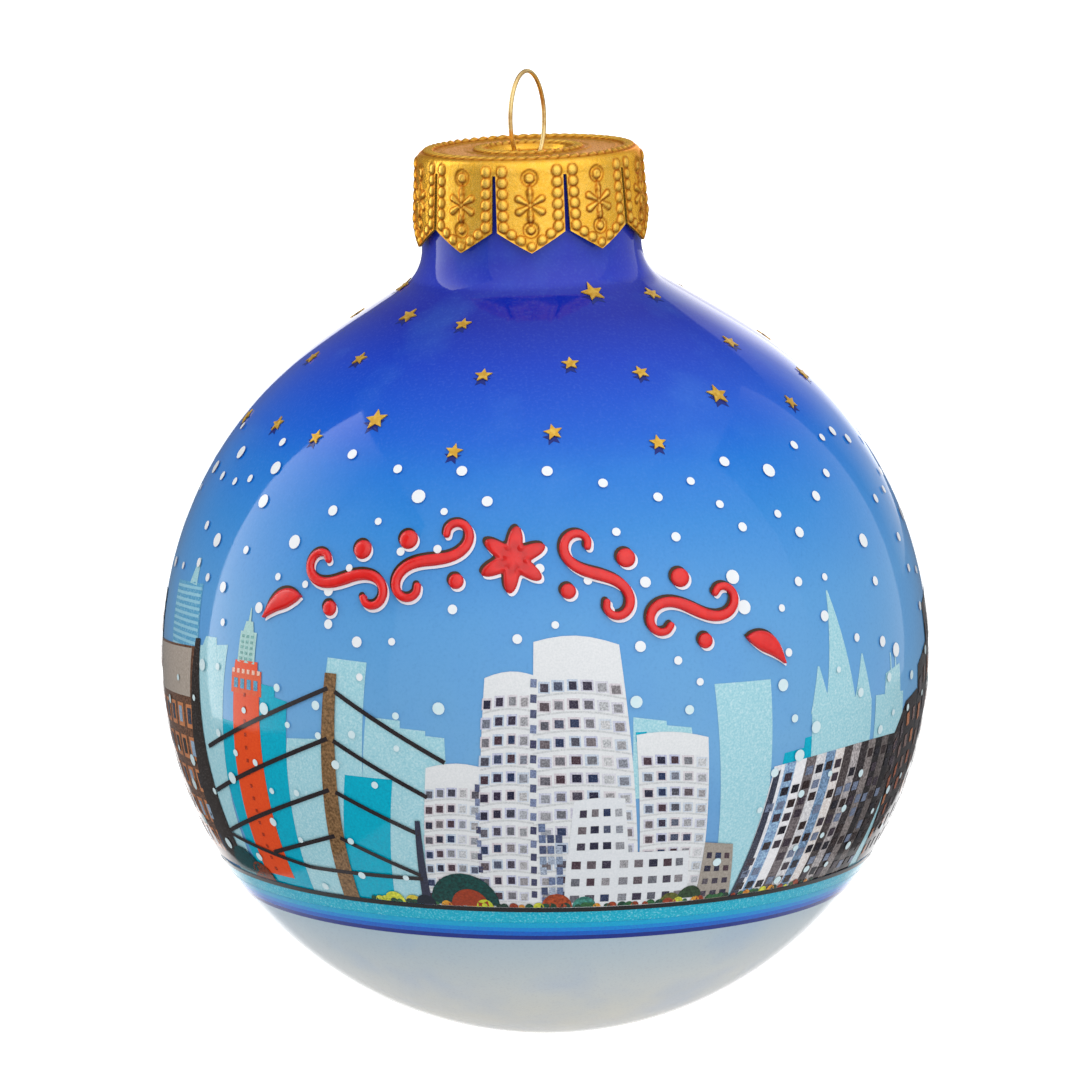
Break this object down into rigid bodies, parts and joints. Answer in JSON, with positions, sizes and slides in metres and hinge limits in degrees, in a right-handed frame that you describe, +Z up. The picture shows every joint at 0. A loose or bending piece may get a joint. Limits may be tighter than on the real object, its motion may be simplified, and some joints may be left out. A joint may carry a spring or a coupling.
{
  "type": "christmas bauble",
  "caption": "Blown glass Christmas bauble with a winter skyline print, red enamel garland, gold foil stars, a stamped gold crown cap and a wire hanging loop.",
  "frame": {"origin": "the hanging point, on the inside of the wire loop's crown, on the bauble's axis", "axes": "+Z up along the bauble's axis, -Y towards the decorated front, +X to the right as the front is seen"},
  "size_m": [0.0798, 0.0796, 0.101],
  "materials": {
    "glass": "blown glass, lacquered inside",
    "print": "glossy printed transfer",
    "cap_gold": "gold lacquer, satin",
    "wire_gold": "gold plated spring wire",
    "red_enamel": "raised glossy enamel",
    "gold_foil": "satin metallic foil"
  },
  "bodies": {
    "hanger": {"wire_hanger": "wire_gold"},
    "cap": {"crown_cap": "cap_gold"},
    "ball": {"glass_ball": "glass", "printed_wrap": "print", "enamel_flower": "red_enamel", "enamel_scroll_left_inner": "red_enamel", "enamel_scroll_right_inner": "red_enamel", "enamel_scroll_left_outer": "red_enamel", "enamel_scroll_right_outer": "red_enamel", "enamel_leaf_left": "red_enamel", "enamel_leaf_right": "red_enamel", "enamel_bud_left_upper": "red_enamel", "enamel_bud_left_lower": "red_enamel", "enamel_bud_right_upper": "red_enamel", "enamel_bud_right_lower": "red_enamel", "enamel_bud_left_end_upper": "red_enamel", "enamel_bud_left_end_lower": "red_enamel", "enamel_bud_right_end_upper": "red_enamel", "enamel_bud_right_end_lower": "red_enamel", "foil_star_01": "gold_foil", "foil_star_02": "gold_foil", "foil_star_03": "gold_foil", "foil_star_04": "gold_foil", "foil_star_05": "gold_foil", "foil_star_06": "gold_foil", "foil_star_07": "gold_foil", "foil_star_08": "gold_foil", "foil_star_09": "gold_foil", "foil_star_10": "gold_foil", "foil_star_11": "gold_foil", "foil_star_12": "gold_foil", "foil_star_13": "gold_foil", "foil_star_14": "gold_foil", "foil_star_15": "gold_foil", "foil_star_16": "gold_foil", "foil_star_17": "gold_foil", "foil_star_18": "gold_foil", "foil_star_19": "gold_foil", "foil_star_20": "gold_foil", "foil_star_21": "gold_foil", "foil_star_22": "gold_foil", "foil_star_23": "gold_foil", "foil_star_24": "gold_foil", "foil_star_25": "gold_foil", "foil_star_26": "gold_foil", "foil_star_27": "gold_foil", "foil_star_28": "gold_foil", "foil_star_29": "gold_foil", "foil_star_30": "gold_foil", "foil_star_31": "gold_foil", "foil_star_32": "gold_foil", "foil_star_33": "gold_foil", "foil_star_34": "gold_foil", "foil_star_35": "gold_foil", "foil_star_36": "gold_foil"}
  },
  "joints": [
    {"name": "hanger_turn", "type": "hinge", "parent": "hanger", "child": "cap", "pos_m": [0, 0, -0.0082], "axis": [0, 0, 1], "continuous": true},
    {"name": "ball_pull", "type": "slide", "parent": "cap", "child": "ball", "axis": [0, 0, -1], "range_m": [0, 0.02]}
  ]
}
